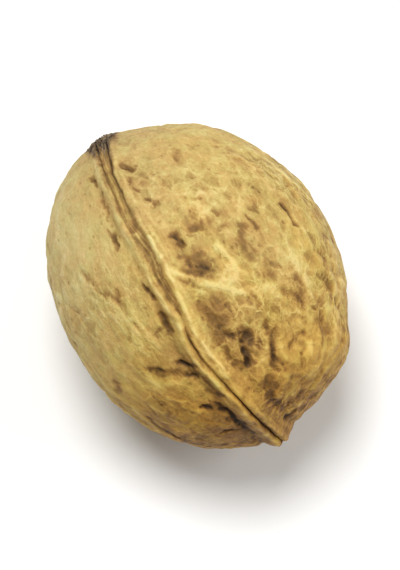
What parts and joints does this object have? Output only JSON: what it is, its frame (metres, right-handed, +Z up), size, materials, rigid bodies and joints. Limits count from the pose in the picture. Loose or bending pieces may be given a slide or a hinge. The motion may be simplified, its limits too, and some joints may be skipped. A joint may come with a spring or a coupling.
{
  "type": "walnut",
  "caption": "Whole walnut in its shell, one solid: egg-shaped and fuller on one side, with a raised seam rim, furrows, pits and a low net of wrinkles, lying on its side on a small flat spot.",
  "frame": {"origin": "on the floor, under the middle of the nut's bounding box", "axes": "+Z up; +X along the nut from the stem end to the tip, which lies a little lower; +Y to the fuller half"},
  "size_m": [0.0448, 0.0354, 0.0347],
  "materials": {
    "shell": "dry matt tan shell, paler on the seam rim and the raised net, brown in the pits and furrows, dark in the split and at the stem scar"
  },
  "bodies": {
    "root": {"walnut": "shell"}
  },
  "joints": []
}
